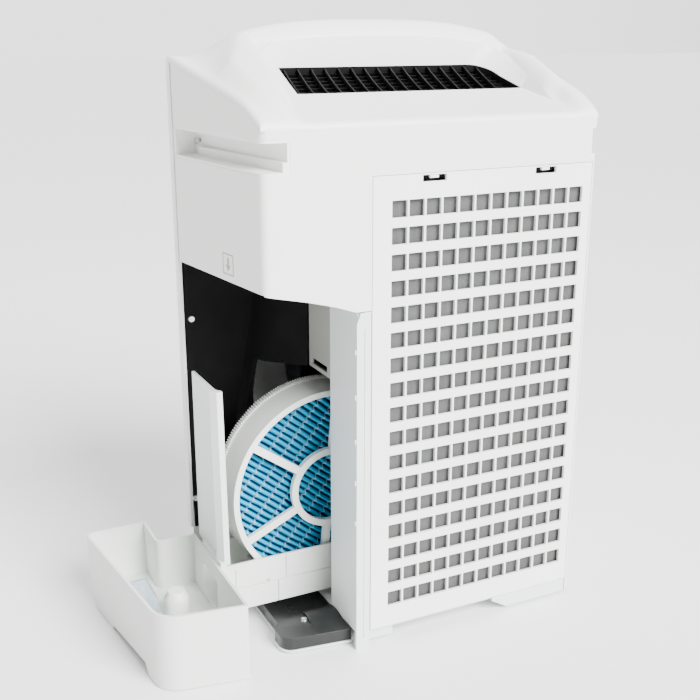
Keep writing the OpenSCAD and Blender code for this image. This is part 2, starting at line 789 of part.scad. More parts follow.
module roller_pins() color(steel) seat()
    for (s = [-1, 1]) roller_place(s) rod_y(pin_r, trough_y0 + 0.4, trough_y1 - 0.4);

module roller(s) color(pale_grey) seat() roller_place(s)
    difference() {
        rod_y(roller_r, 2, 12);
        rod_y(pin_r + 0.05, 0, 14);
    }

// Upright plate that closes the humidifier's slot when the tray is in.
module tray_guard() color(white) seat() {
    yz(193.4, 196.2)
        polygon([[-49, rim_h], [28, rim_h], [28 - guard_lean, guard_top], [-49, guard_top]]);
    // bent near edge, which leans with the plate
    translate([0, 0, rim_h]) rotate([atan(guard_lean / (guard_top - rim_h)), 0, 0])
        plan(0.4, guard_top - rim_h - 0.6)
            polygon([[189.6, 28], [195, 20], [200.4, 20], [200.4, 24], [195.6, 32.2], [189.6, 32.2]]);
    block([193.4, -26.8, rim_h - 0.02], [199.8, 32.2, rim_h + 5]);
}

float_at = [240, 4];
post_r = 3.2;

module float_body() color(white) seat() translate([float_at.x, float_at.y, basin_floor + 1])
    difference() {
        union() {
            cylinder(r = 13, h = 18);
            translate([0, 0, 18]) cylinder(r1 = 13, r2 = 8.5, h = 8);
        }
        translate([0, 0, -1]) cylinder(r = post_r + 0.4, h = 23);
    }

// Guide post of the float and the clear cover over its switch.
module float_cover() color([0.72, 0.84, 0.92, 0.6]) seat() {
    translate([float_at.x, float_at.y, basin_floor]) cylinder(r = post_r, h = 21);
    translate([262, -30, basin_floor]) difference() {
        cube([24, 44, 30]);
        translate([2, 2, -1]) cube([20, 40, 29]);
    }
}

// ---- humidifier wheel ----------------------------------------------------

module at_wheel() seat() translate([wheel_x, 0, wheel_z]) children();

module wheel_rim() color(white) at_wheel()
    difference() {
        union() {
            xz(-20, -12) toothed(drum_r + 0.2, wheel_r, rim_teeth);
            rod_y(drum_r, -20, 20);
        }
        rod_y(drum_r - 4, -21, 21);
    }

module wheel_frame() color(white) at_wheel() {
    difference() {
        rod_y(drum_r, 20, 28);
        rod_y(drum_r - 6, 19, 29);
    }
    difference() {
        rod_y(hub_r, 22, 28);
        rod_y(hub_r - 7, 21, 29);
    }
    for (i = [0:spokes - 1]) rotate([0, -(35 + 360 * i / spokes), 0])
        block([hub_r - 1, 22.6, -4], [drum_r - 5, 27.4, 4]);
}

module wheel_media() color(media_blue) at_wheel() rod_y(drum_r - 4.2, -16, 19.9);

// ---- the assembly --------------------------------------------------------

base_pan();
foot_pads();
platform_pan();
tray_platform();
main_casing();
filter_housing();
bay_liner();
inlet_cheek();
handle_cup_left();
handle_cup_right();
case_screws();
top_cover();
outlet_louver();
front_panel();
indicator_lens();
control_plate();
display_window();
key(0);  // key_1
key(1);  // key_2
key(2);  // key_3
key(3);  // key_4
key(4);  // key_5
control_board();
rear_panel();
prefilter_mesh();
panel_tab(tab_slots[0]);  // panel_tab_left
panel_tab(tab_slots[1]);  // panel_tab_right
carbon_filter();
hepa_filter();
fan_bulkhead();
fan_scroll();
fan_motor();
fan_shaft();
fan_wheel();
fan_nut();
air_duct();
main_board();
board_posts();
ion_unit();
air_sensor();
sensor_cover();
power_inlet();
wheel_drive_motor();
drive_bracket();
drive_pinion();
tray();
tray_guard();
roller_pins();
roller(1);  // roller_left
roller(-1);  // roller_right
float_body();  // float
float_cover();
wheel_rim();
wheel_frame();
wheel_media();
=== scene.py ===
"""Looks of the humidifying air purifier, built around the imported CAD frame."""

import json
import math

import bmesh
import bpy
from mathutils import Matrix, Vector


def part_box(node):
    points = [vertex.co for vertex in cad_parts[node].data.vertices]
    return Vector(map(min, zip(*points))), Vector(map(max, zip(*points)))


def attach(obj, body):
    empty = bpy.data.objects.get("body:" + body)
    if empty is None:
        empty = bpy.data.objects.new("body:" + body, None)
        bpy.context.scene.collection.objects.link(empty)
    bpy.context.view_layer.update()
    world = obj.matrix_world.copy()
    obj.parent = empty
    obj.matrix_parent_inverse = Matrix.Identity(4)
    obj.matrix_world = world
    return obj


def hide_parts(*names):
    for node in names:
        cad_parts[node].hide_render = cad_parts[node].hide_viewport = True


MM = 0.001

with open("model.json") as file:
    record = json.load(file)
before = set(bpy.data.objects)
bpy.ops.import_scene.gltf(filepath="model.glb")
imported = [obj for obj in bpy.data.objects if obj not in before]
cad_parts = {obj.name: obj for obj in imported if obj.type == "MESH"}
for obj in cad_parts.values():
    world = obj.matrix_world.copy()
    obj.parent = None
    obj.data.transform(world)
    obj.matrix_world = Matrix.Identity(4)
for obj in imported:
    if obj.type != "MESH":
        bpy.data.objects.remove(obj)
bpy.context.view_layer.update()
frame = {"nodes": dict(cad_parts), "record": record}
BODY_OF = {node: body
           for body, nodes in frame["record"]["behaviour"]["bodies"].items()
           for node in nodes}


# ---- materials -----------------------------------------------------------

class Shader:
    """A node material with one Principled shader, built up by the functions below."""

    def __init__(self, name, color, roughness, **sockets):
        self.material = bpy.data.materials.new(name)
        self.material.use_nodes = True
        self.nodes = self.material.node_tree.nodes
        self.links = self.material.node_tree.links
        self.principled = self.nodes["Principled BSDF"]
        self.color = color
        self.roughness = roughness
        self.set("Base Color", (*color, 1))
        self.set("Roughness", roughness)
        for socket, value in sockets.items():
            self.set(socket.replace("_", " "), value)
        self.place = self.add("ShaderNodeTexCoord").outputs["Object"]

    def set(self, socket, value):
        self.principled.inputs[socket].default_value = value

    def add(self, kind, **values):
        node = self.nodes.new(kind)
        for key, value in values.items():
            if key in node.inputs:
                node.inputs[key].default_value = value
            else:
                setattr(node, key, value)
        return node

    def link(self, output, node, socket):
        self.links.new(output, node.inputs[socket])

    def math(self, operation, a, b):
        node = self.add("ShaderNodeMath", operation=operation)
        for i, value in enumerate((a, b)):
            if isinstance(value, (int, float)):
                node.inputs[i].default_value = value
            else:
                self.links.new(value, node.inputs[i])
        return node.outputs[0]

    def noise(self, scale, detail=3, stretch=None):
        node = self.add("ShaderNodeTexNoise", Scale=scale, Detail=detail)
        self.link(self.stretched(stretch), node, "Vector")
        return node.outputs["Fac"]

    def stretched(self, stretch):
        if stretch is None:
            return self.place
        mapping = self.add("ShaderNodeMapping")
        mapping.inputs["Scale"].default_value = stretch
        self.link(self.place, mapping, "Vector")
        return mapping.outputs[0]

    def spread(self, value, low, high, from_low=0.3, from_high=0.7):
        node = self.add("ShaderNodeMapRange")
        self.link(value, node, "Value")
        for socket, number in (("From Min", from_low), ("From Max", from_high),
                               ("To Min", low), ("To Max", high)):
            node.inputs[socket].default_value = number
        return node.outputs[0]

    def mix(self, factor, a, b):
        node = self.add("ShaderNodeMix", data_type="RGBA")
        self.link(factor, node, 0)
        for socket, value in ((6, a), (7, b)):
            if isinstance(value, tuple):
                node.inputs[socket].default_value = (*value, 1)
            else:
                self.links.new(value, node.inputs[socket])
        return node.outputs[2]

    def tinted(self, amount, scale):
        """Slow change of tone over the surface, by the given share either way."""
        dark = tuple(c * (1 - amount) for c in self.color)
        light = tuple(min(1, c * (1 + amount)) for c in self.color)
        color = self.mix(self.spread(self.noise(scale, 4), 0, 1), dark, light)
        self.link(color, self.principled, "Base Color")

    def uneven_gloss(self, amount, scale):
        gloss = self.spread(self.noise(scale, 5), self.roughness - amount, self.roughness + amount)
        self.link(gloss, self.principled, "Roughness")

    def bump(self, height, strength, distance):
        node = self.add("ShaderNodeBump", Strength=strength, Distance=distance)
        self.link(height, node, "Height")
        self.link(node.outputs[0], self.principled, "Normal")


def moulded(name, color, roughness, grain=2600, tone=0.02, shine=0.5):
    """Injection-moulded plastic with a fine spark-eroded grain."""
    shader = Shader(name, color, roughness, Specular_IOR_Level=shine)
    shader.tinted(tone, 9)
    shader.uneven_gloss(0.06, 40)
    shader.bump(shader.noise(grain, 2), 0.12, 0.0002)
    return shader.material


def woven(name, color, pitch):
    """Plain woven mesh of the given thread pitch in metres, lying in soft folds, with painted
    highlights and shade across the folds.
    """
    shader = Shader(name, color, 0.85)
    split = shader.add("ShaderNodeSeparateXYZ")
    shader.link(shader.place, split, "Vector")

    def threads(output):
        angle = shader.math("MULTIPLY", output, math.pi / pitch)
        return shader.math("ABSOLUTE", shader.math("SINE", angle, 0), 0)

    holes = shader.math("MULTIPLY", threads(split.outputs[0]), threads(split.outputs[2]))
    dark = tuple(c * 0.55 for c in color)
    light = tuple(min(1, c * 1.12) for c in color)
    # painted highlights and shade: the folds' noise mixes a lighter and a darker copy of the
    # mesh's colour; its bump is the folds' real relief
    folds = shader.spread(shader.noise(55, 3, (1, 1, 0.35)), 0, 1)
    shader.link(shader.mix(folds, shader.mix(holes, color, dark), shader.mix(holes, light, color)),
                shader.principled, "Base Color")
    shader.bump(shader.math("ADD", shader.math("MULTIPLY", folds, 4.0),
                            shader.math("SUBTRACT", 1.0, holes)), 0.6, 0.0005)
    return shader.material


def granular(name, color):
    """Carbon granules held in a net."""
    shader = Shader(name, color, 0.7)
    cells = shader.add("ShaderNodeTexVoronoi", Scale=420)
    shader.link(shader.place, cells, "Vector")
    light = tuple(c * 2.4 for c in color)
    grains = shader.mix(cells.outputs["Distance"], color, light)
    shader.link(grains, shader.principled, "Base Color")
    shader.bump(cells.outputs["Distance"], 0.6, 0.001)
    return shader.material


def paper(name, color):
    """Fibrous filter paper."""
    shader = Shader(name, color, 0.9)
    shader.tinted(0.05, 60)
    shader.bump(shader.noise(1800, 6), 0.35, 0.0003)
    return shader.material


def plated(name, color):
    """Zinc-plated steel with fine turning marks."""
    shader = Shader(name, color, 0.34, Metallic=1.0)
    shader.tinted(0.08, 120)
    shader.uneven_gloss(0.1, 300)
    shader.bump(shader.noise(900, 2, (1, 1, 6)), 0.15, 0.0001)
    return shader.material


def rubber(name, color):
    """Matt rubber with a coarse grain."""
    shader = Shader(name, color, 0.75)
    shader.tinted(0.15, 80)
    shader.bump(shader.noise(1500, 4), 0.3, 0.0003)
    return shader.material


def glossy(name, color, roughness=0.18):
    """Polished plastic with a faint waviness."""
    shader = Shader(name, color, roughness, Coat_Weight=0.4)
    shader.tinted(0.04, 20)
    shader.uneven_gloss(0.05, 60)
    shader.bump(shader.noise(90, 2), 0.05, 0.0004)
    return shader.material


def translucent(name, color):
    """Tinted clear plastic."""
    shader = Shader(name, color, 0.12, Transmission_Weight=0.75, IOR=1.46)
    shader.tinted(0.04, 40)
    shader.bump(shader.noise(160, 2), 0.06, 0.0003)
    return shader.material


def solder_mask(name, color):
    """Circuit board lacquer over copper tracks."""
    shader = Shader(name, color, 0.3, Coat_Weight=0.5)
    tracks = shader.add("ShaderNodeTexBrick", Scale=90)
    tracks.inputs["Color1"].default_value = (*color, 1)
    tracks.inputs["Color2"].default_value = (*[c * 1.3 for c in color], 1)
    tracks.inputs["Mortar"].default_value = (*[min(1, c * 2.2) for c in color], 1)
    shader.link(shader.place, tracks, "Vector")
    shader.link(tracks.outputs["Color"], shader.principled, "Base Color")
    return shader.material


def pleated_media(name, shade_and_fibre_blue, bright, front, depth, slant):
    """Blue humidifying cloth: painted shade darkens the valleys of the folds, the crests keep the
    cloth's own blue, and pale glue lines run over the folds.
    """
    shader = Shader(name, bright, 0.8, Specular_IOR_Level=0.08)
    split = shader.add("ShaderNodeSeparateXYZ")
    shader.link(shader.place, split, "Vector")
    # painted shade: the colour goes from the cloth's own blue on the crests to a darker blue in
    # the valleys, by depth in Y
    height = shader.spread(split.outputs[1], 0, 1, front - 0.75 * depth, front - 0.3 * depth)
    cloth = shader.mix(height, shade_and_fibre_blue, bright)
    along = shader.math("ADD", shader.math("MULTIPLY", split.outputs[0], math.cos(slant)),
                        shader.math("MULTIPLY", split.outputs[2], math.sin(slant)))
    phase = shader.math("FRACT", shader.math("DIVIDE", along, GLUE_PITCH), 0)
    line = shader.spread(shader.math("ABSOLUTE", shader.math("SUBTRACT", phase, 0.5), 0),
                         0.75, 0, 0, 0.09)
    glued = shader.mix(line, cloth, tuple(0.5 * c + 0.45 for c in bright))
    # the fibres' random darker tone uses the same darker blue as the painted valley shade
    fibres = shader.spread(shader.noise(700, 6), 0, 0.3)
    shader.link(shader.mix(fibres, glued, shade_and_fibre_blue), shader.principled, "Base Color")
    shader.bump(shader.noise(1400, 5), 0.5, 0.0004)
    return shader.material


# the wheel's cloth: spacing of the glue lines, and the slant and depth of the folds
GLUE_PITCH = 0.016
PLEAT_SLANT = math.radians(38)
PLEAT_DEPTH = 0.006
PLEAT_PITCH = 6.6 * MM
PLEAT_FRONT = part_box("wheel_media")[1].y - 0.0015

MATERIALS = {
    "cabinet_white": moulded("cabinet white", (0.80, 0.81, 0.79), 0.42),
    "cover_white": moulded("cover white", (0.84, 0.85, 0.83), 0.38),
    "inner_white": moulded("inner white", (0.70, 0.73, 0.73), 0.45),
    "grille_white": moulded("grille white", (0.86, 0.87, 0.85), 0.42),
    "mesh_grey": woven("prefilter mesh", (0.085, 0.088, 0.086), 0.0012),
    "liner_black": moulded("liner black", (0.0025, 0.0025, 0.0028), 0.55, shine=0.08),
    "platform_grey": moulded("platform grey", (0.012, 0.013, 0.013), 0.32, shine=0.4),
    "cheek_grey": moulded("cheek grey", (0.30, 0.305, 0.28), 0.5),
    "tray_white": moulded("tray white", (0.72, 0.75, 0.71), 0.42),
    "guard_white": moulded("guard white", (0.74, 0.75, 0.76), 0.42),
    "wheel_white": moulded("wheel white", (0.74, 0.77, 0.73), 0.4),
    # the first blue is the painted shade of the fold valleys and the fibres' darker tone; the
    # second is the cloth's own blue
    "media_blue": pleated_media("humidifying cloth", (0.001, 0.030, 0.09), (0.003, 0.40, 0.64),
                                PLEAT_FRONT, PLEAT_DEPTH, PLEAT_SLANT),
    "clear_blue": translucent("clear blue plastic", (0.80, 0.90, 0.96)),
    "carbon": granular("carbon granules", (0.02, 0.02, 0.02)),
    "filter_paper": paper("filter paper", (0.82, 0.82, 0.77)),
    "panel_dark": glossy("control plate", (0.03, 0.033, 0.036)),
    "display_dark": glossy("display window", (0.012, 0.015, 0.02), 0.08),
    "lens": translucent("indicator lens", (0.80, 0.87, 0.90)),
    "key_white": moulded("key white", (0.70, 0.71, 0.70), 0.35),
    "board_green": solder_mask("circuit board", (0.02, 0.12, 0.05)),
    "steel": plated("zinc-plated steel", (0.62, 0.63, 0.64)),
    "duct_grey": moulded("duct grey", (0.34, 0.35, 0.34), 0.55),
    "fan_grey": moulded("fan grey", (0.02, 0.02, 0.022), 0.5),
    "foot_rubber": rubber("foot rubber", (0.02, 0.02, 0.02)),
}
SLOT_OF = {part["node"]: part["material_slot"] for part in frame["record"]["subparts"]}


# ---- pieces from the CAD nodes -------------------------------------------

def paint(obj, slot):
    obj.data.materials.clear()
    obj.data.materials.append(MATERIALS[slot])


def add_detail(name, mesh, slot, node):
    """Links a mesh as a piece of its own, on the body of a CAD node."""
    obj = bpy.data.objects.new(name, mesh)
    bpy.context.scene.collection.objects.link(obj)
    paint(obj, slot)
    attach(obj, BODY_OF[node])
    return obj


def add_piece(name, mesh, node):
    """Links a mesh as the piece that stands for a CAD node, on the node's body."""
    obj = add_detail(name, mesh, SLOT_OF[node], node)
    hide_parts(node)
    return obj


def smoothed(mesh, sharp_degrees):
    mesh.shade_smooth()
    mesh.set_sharp_from_angle(angle=math.radians(sharp_degrees))


def finished(work, name):
    """The mesh that a bmesh holds, which is then freed."""
    mesh = bpy.data.meshes.new(name)
    work.to_mesh(mesh)
    work.free()
    return mesh


def bevelled(obj, width):
    bevel = obj.modifiers.new("edges", "BEVEL")
    bevel.width = width * MM
    bevel.segments = 2
    return bevel


def soften(node, edge):
    """A copy of a CAD node with its edges rounded off by edge millimetres."""
    mesh = frame["nodes"][node].data.copy()
    work = bmesh.new()
    work.from_mesh(mesh)
    bmesh.ops.remove_doubles(work, verts=work.verts, dist=1e-5)
    bmesh.ops.dissolve_limit(work, angle_limit=math.radians(0.5), verts=work.verts,
                             edges=work.edges, delimit=set())
    work.to_mesh(mesh)
    work.free()
    mesh.name = node + "_skin"
    if "custom_normal" in mesh.attributes:
        mesh.attributes.remove(mesh.attributes["custom_normal"])
    smoothed(mesh, 35)
    bevel = bevelled(add_piece(node + "_skin", mesh, node), edge)
    bevel.limit_method = "ANGLE"
    bevel.angle_limit = math.radians(30)
    bevel.harden_normals = True


# how far each node's edges are rounded off, in millimetres
EDGES = {
    "main_casing": 0.8, "front_panel": 0.8, "rear_panel": 0.5,
    "filter_housing": 0.7, "bay_liner": 0.8, "inlet_cheek": 0.4, "tray": 0.9, "tray_guard": 0.8,
    "tray_platform": 1.0, "platform_pan": 0.5, "base_pan": 0.7, "handle_cup_left": 0.8,
    "handle_cup_right": 0.8, "wheel_rim": 0.25, "wheel_frame": 0.7, "outlet_louver": 0.25,
}
PLAIN_EDGE = 0.4
BUILT_BELOW = {"wheel_media", "top_cover", "panel_tab_left", "panel_tab_right"}

for node in frame["nodes"]:
    if node not in BUILT_BELOW:
        soften(node, EDGES.get(node, PLAIN_EDGE))


# ---- top cover -----------------------------------------------------------
# Its surfaces are worked out in millimetres from the cabinet's own origin, +Y to the rear.

REAR, SPLIT, FRONT = 115, -62.5, -116      # rear edge, end of the flare, front edge
REAR_HALF, FRONT_HALF = 177, 200.5         # half the width at the rear and at the split
FRONT_BEND = 0.0065                        # how fast the sides turn in before the split
REAR_H, CREST_H, SLOPE = 530, 617, 0.235   # heights of the rear edge and crest, plain slope
CREST_Y, RIDGE_Y, LIP_Y = -20, -32, 32     # outlet's far wall, start of the front, near lip
CREST_BEND = 4.5e-6
FRONT_DROP = 36
SIDE_RISE, SIDE_FALL, SIDE_FALL_Y = 11, 10.4, 55
ARM_END_Y = 113
HOOD_EDGE, ARM_EDGE, ARM_NARROWING = 55, 25, 0.75
RIM = {1: 128, -1: -150}                   # the outlet's rim on each side
# where the well's foot runs on each side, at the far wall, the lip and the flank's end
FOOT = {1: (105.5, 108, 128), -1: (-123, -142, -150)}
FLANK_END = 75
RIM_DROP, RIM_WIDTH, RIM_CORNER = 16, 18, 25
RIM_FADE = 40                              # from the rear edge, where the rim isn't lowered
MERGE_LENGTH, MERGE_WIDTH = 25, 22         # where the flanks run out into the plain slope
RIM_BEND_Y = 5                             # where the rim's far corners begin
CORNER_STEPS = 24
FAR_FOOT = -108                            # where the foot's own far corner ends
LOUVER_SLOPE = 0.42
LOUVER_GAP = 0.8                           # from the wall's foot down to the louver
SKIRT = 14
SEAM_DROP = 5.9                            # from the side's line down to the seam
EDGE = 5
PLATE_CORNER = 14                          # the cover's front corners
# the recess of the control plate: half its width, its span in Y, and its floor
PANEL_X = 79.3
PANEL_Y = (-108.2, -63.8)
PANEL_H, PANEL_TILT, PANEL_DEPTH = 582.5, math.radians(24.2), 2.2
PANEL_H_Y = -110


def cabinet_origin():
    low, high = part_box("top_cover")
    return Vector(((low.x + high.x) / 2, high.y - REAR * MM, 0))


CABINET = cabinet_origin()


def smooth(t):
    t = min(1, max(0, t))
    return t * t * (3 - 2 * t)


def half_width(y):
    if y >= SPLIT:
        return REAR_HALF + (FRONT_HALF - REAR_HALF) * (REAR - y) / (REAR - SPLIT)
    return FRONT_HALF - FRONT_BEND * (SPLIT - y) ** 2


def slope_z(y):
    return REAR_H + SLOPE * (REAR - y)


def side_z(y):
    """Height of the cover's outer edge."""
    fall = max(0, (y - SIDE_FALL_Y) / (REAR - SIDE_FALL_Y))
    return slope_z(max(y, SPLIT)) + SIDE_RISE - SIDE_FALL * fall ** 3 - 0.03 * max(0, SPLIT - y)


def hood_z(x, y):
    """Height of the hood's surface, which falls off towards the outlet's rim."""
    side = side_z(y)
    crest = CREST_H - CREST_BEND * abs(x) ** 3
    if y >= CREST_Y:
        top = side + (crest - side_z(CREST_Y)) * max(0, (ARM_END_Y - y) / (ARM_END_Y - CREST_Y))
    else:
        top = crest - FRONT_DROP * (max(0, RIDGE_Y - y) / (RIDGE_Y - FRONT)) ** 1.5
    width = HOOD_EDGE if y < CREST_Y else max(ARM_EDGE, HOOD_EDGE - ARM_NARROWING * (y - CREST_Y))
    across = x - RIM[1] if x > 0 else RIM[-1] - x
    gap = math.hypot(max(0, across), max(0, CREST_Y - y))
    fade = min(1, max(0, (REAR - y) / RIM_FADE))
    drop = RIM_DROP * max(0, 1 - gap / RIM_WIDTH) ** 2 * fade
    z = side + (top - side) * smooth((half_width(y) - abs(x)) / width) - drop
    plain = slope_z(y)
    merge = smooth((y - SIDE_FALL_Y) / MERGE_LENGTH)
    return plain + (z - plain) * (1 - merge + merge * smooth(gap / MERGE_WIDTH))


def rounding(gap, radius):
    """How far a rounded edge has dropped at a distance from the edge."""
    t = min(1, max(0, 1 - gap / radius))
    return radius * (1 - math.sqrt(1 - t * t))


def cover_z(x, y):
    gap = min(half_width(y) - abs(x), REAR - y, y - FRONT)
    return hood_z(x, y) - rounding(gap, EDGE)


def foot_x(side, y):
    """Where the flank on one side of the well meets the plain slope or the louver."""
    far, lip, end = FOOT[side]
    if y < LIP_Y:
        return far + (lip - far) * (y - CREST_Y) / (LIP_Y - CREST_Y)
    return lip + (end - lip) * min(1, (y - LIP_Y) / (FLANK_END - LIP_Y))


def foot_z(y):
    if y >= LIP_Y:
        return slope_z(y)
    return slope_z(LIP_Y) + LOUVER_SLOPE * (LIP_Y - y) + 0.3


def panel_floor(y):
    return PANEL_H + (y - PANEL_H_Y) * math.tan(PANEL_TILT) - PANEL_DEPTH


def between(a, b, t):
    return a + (b - a) * t


def resampled(points, count):
    """Evenly spaced points along a polyline."""
    reach = [0]
    for a, b in zip(points, points[1:]):
        reach.append(reach[-1] + math.dist(a, b))
    out = []
    for i in range(count + 1):
        want = reach[-1] * i / count
        k = max(j for j in range(len(points) - 1) if reach[j] <= want + 1e-9)
        t = (want - reach[k]) / (reach[k + 1] - reach[k])
        out.append(tuple(between(p, q, t) for p, q in zip(points[k], points[k + 1])))
    return out


def corner_edge(side, end_x):
    """The cover's edge round one front corner, from its flank to its front."""
    radius = PLATE_CORNER
    wide = half_width(FRONT + radius)
    points = [(side * half_width(y), y) for y in range(RIM_BEND_Y, FRONT + radius, -4)]
    for i in range(9):
        a = math.pi / 2 * i / 8
        points.append((side * (wide - radius + radius * math.cos(a)),
                       FRONT + radius - radius * math.sin(a)))
    points.append((end_x, FRONT))
    return resampled(points, CORNER_STEPS)


def flank_rows():
    """Places along a flank, closer together at the rear edge and about the lip."""
    rear = [REAR, 114.8, 114.4, 113.8, 113, 112, 110.5, 108]
    middle = [104 - 4.5 * i for i in range(16)]
    lip = [35, 33.4, 32.6, 32.2, LIP_Y]
    return rear + middle + lip + [31.9, 28, 23.5, 19, 14.5, 10, 5]


def side_columns(side):
    """The columns along one flank and round its far corner, and where that corner ends."""
    centre = RIM[side] - side * RIM_CORNER
    out = [((RIM[side], y), (foot_x(side, y), y), (side * half_width(y), y))
           for y in flank_rows()]
    edge = corner_edge(side, centre)
    for i in range(1, CORNER_STEPS + 1):
        a = math.pi / 2 * i / CORNER_STEPS
        y = RIM_BEND_Y - RIM_CORNER * math.sin(a)
        foot = foot_x(side, y)
        if side < 0:
            foot = FAR_FOOT - (FAR_FOOT - foot_x(side, RIM_BEND_Y)) * math.cos(a)
        out.append(((centre + side * RIM_CORNER * math.cos(a), y), (foot, y), edge[i]))
    return out, centre


def columns():
    """Lines across the hood: its rim, the foot of the well's wall below it, and the edge."""
    left, centre = side_columns(1)
    right, centre_r = side_columns(-1)
    xs = [centre + (centre_r - centre) * i / 38 for i in range(1, 38)]
    xs += [s * (PANEL_X + d) for s in (-1, 1) for d in (0, 0.25)]
    front = []
    for x in sorted(xs, reverse=True):
        t = (centre - x) / (centre - centre_r)
        foot = FOOT[1][0] + (FAR_FOOT - FOOT[1][0]) * t
        front.append(((x, CREST_Y), (foot, CREST_Y), (x, FRONT)))
    return left + front + right[::-1]


def vertex_in(work, x, y, z):
    return work.verts.new((CABINET.x + x * MM, CABINET.y + y * MM, z * MM))


def fill_between(work, lines):
    """Faces between each line of vertices and the next."""
    for a, b in zip(lines, lines[1:]):
        for i in range(len(a) - 1):
            work.faces.new((a[i], a[i + 1], b[i + 1], b[i]))


# distances from the rim and from the edge at which a column has its closest points
NEAR_RIM = [0, 0.6, 1.4, 2.4, 3.8, 5.5, 7.5, 10, 13, 16, 20]
NEAR_EDGE = [9.4, 7.95, 7.7, 5, 3.6, 2.4, 1.4, 0.7, 0.25, 0]
RIM_SHARE = 0.62    # the most of a column that the points near the rim take up
PANEL_ROW = (PANEL_Y[1] + 40) / (-40 - (FRONT + NEAR_EDGE[0]))
MIDDLE = sorted([(i + 1) / 15 for i in range(14)] + [-PANEL_ROW, -PANEL_ROW + 0.004])


def column_shares(span):
    """Where a column's points lie, as shares of the way from the rim to the edge."""
    inner, outer = NEAR_RIM[-1] / span, 1 - NEAR_EDGE[0] / span
    scale = min(1, RIM_SHARE / inner) if inner > RIM_SHARE else 1
    return ([d * scale / span for d in NEAR_RIM]
            + [between(inner * scale, outer, t) for t in MIDDLE]
            + [1 - d / span for d in NEAR_EDGE])


def cover_column(work, rim, foot, edge):
    """Vertices from the well's foot up its wall, over the hood and down to the seam."""
    column = []
    rim_z = cover_z(*rim)
    low = foot_z(foot[1])
    at_slope = foot[1] >= LIP_Y
    rear_drop = rounding(REAR - foot[1], EDGE)
    column.append(vertex_in(work, *foot, low - (rear_drop if at_slope else LOUVER_GAP)))
    if rim_z - low < 0.4:
        rim_z = low - rear_drop
    base = low - (rear_drop if at_slope else 0)
    for t in (0, 0.04, 0.3, 0.6, 0.9, 0.97):
        column.append(vertex_in(work, between(foot[0], rim[0], t), between(foot[1], rim[1], t),
                                between(base, max(rim_z, base), t)))
    for t in column_shares(math.dist(rim, edge)):
        x, y = between(rim[0], edge[0], t), between(rim[1], edge[1], t)
        z = cover_z(x, y)
        if abs(x) < PANEL_X + 0.1 and PANEL_Y[0] < y < PANEL_Y[1]:
            z = panel_floor(y)
        column.append(vertex_in(work, x, y, z))
    seam = side_z(edge[1]) - SEAM_DROP
    column.append(vertex_in(work, *edge, seam))
    column.append(vertex_in(work, edge[0] * 0.985, min(edge[1] * 0.985, REAR - 2), seam))
    return column


def build_slope(work, lines):
    """The plain slope between the two flanks, and the outlet's lip."""
    steps = 36
    feet = [(lines[i][1], lines[-1 - i][1]) for i in range(len(flank_rows()))
            if lines[i][1][1] >= LIP_Y]

    def row(left_x, right_x, y, z, end_z):
        return [vertex_in(work, between(left_x, right_x, i / steps), y,
                          z if 0 < i < steps else end_z) for i in range(steps + 1)]

    rows = []
    for left, right in feet:
        y = left[1]
        end_z = slope_z(y) - rounding(REAR - y, EDGE)
        rows.append(row(left[0], right[0], y, end_z - rounding(y - LIP_Y, 1.2) * 0.999, end_z))
    low = slope_z(LIP_Y) - 2.2
    rows.append(row(feet[-1][0][0], feet[-1][1][0], LIP_Y, low, low))
    seam = side_z(REAR) - SEAM_DROP
    for depth in (0, 2):
        rows.insert(0, row(feet[0][0][0], feet[0][1][0], REAR - depth, seam, seam))
    fill_between(work, rows)


def build_arm_end(work, column):
    """The rear end of one of the two arms."""
    strip = column[1:-2]
    low = [vertex_in(work, (v.co.x - CABINET.x) / MM, REAR, side_z(REAR) - SEAM_DROP)
           for v in strip]
    for i in range(len(strip) - 1):
        work.faces.new((strip[i], strip[i + 1], low[i + 1], low[i]))


def build_cover(lines):
    """The hood with its rounded rim, the well's walls and the plain slope behind the outlet."""
    work = bmesh.new()
    grid = [cover_column(work, *line) for line in lines]
    fill_between(work, grid)
    build_slope(work, lines)
    for column in (grid[0], grid[-1]):
        build_arm_end(work, column)
    bmesh.ops.remove_doubles(work, verts=work.verts, dist=2e-5)
    bmesh.ops.dissolve_degenerate(work, edges=work.edges, dist=1e-6)
    bmesh.ops.recalc_face_normals(work, faces=work.faces)
    mesh = finished(work, "cover_shell")
    smoothed(mesh, 32)
    add_piece("cover_shell", mesh, "top_cover")


def build_louver_frame(lines):
    """Black frame of the louver, which goes down from the foot of the well's wall."""
    outline = [foot for _, foot, _ in lines if foot[1] <= LIP_Y]
    work = bmesh.new()
    ring = []
    for x, y in outline:
        inward = (x * 0.997, y + 0.3 if y < LIP_Y - 1 else y - 0.2)
        z = foot_z(min(y, LIP_Y - 0.01))
        ring.append([vertex_in(work, *inward, z - 0.5), vertex_in(work, *inward, z - SKIRT)])
    for a, b in zip(ring, ring[1:] + ring[:1]):
        work.faces.new((a[0], b[0], b[1], a[1]))
    add_detail("louver_frame", finished(work, "louver_frame"), "liner_black", "outlet_louver")


COVER_LINES = columns()
build_cover(COVER_LINES)
build_louver_frame(COVER_LINES)


# ---- latch tabs ----------------------------------------------------------

BUTTON_HALF, BUTTON_DROP, SHADE_PLATE_THICK = 4.5 * MM, 1.3 * MM, 2.4 * MM


def box_mesh(name, low, high):
    """A mesh of one plain box between two corners."""
    low, high = Vector(low), Vector(high)
    work = bmesh.new()
    bmesh.ops.create_cube(work, size=1, matrix=Matrix.Translation((low + high) / 2)
                          @ Matrix.Diagonal((*(high - low), 1)))
    return finished(work, name)


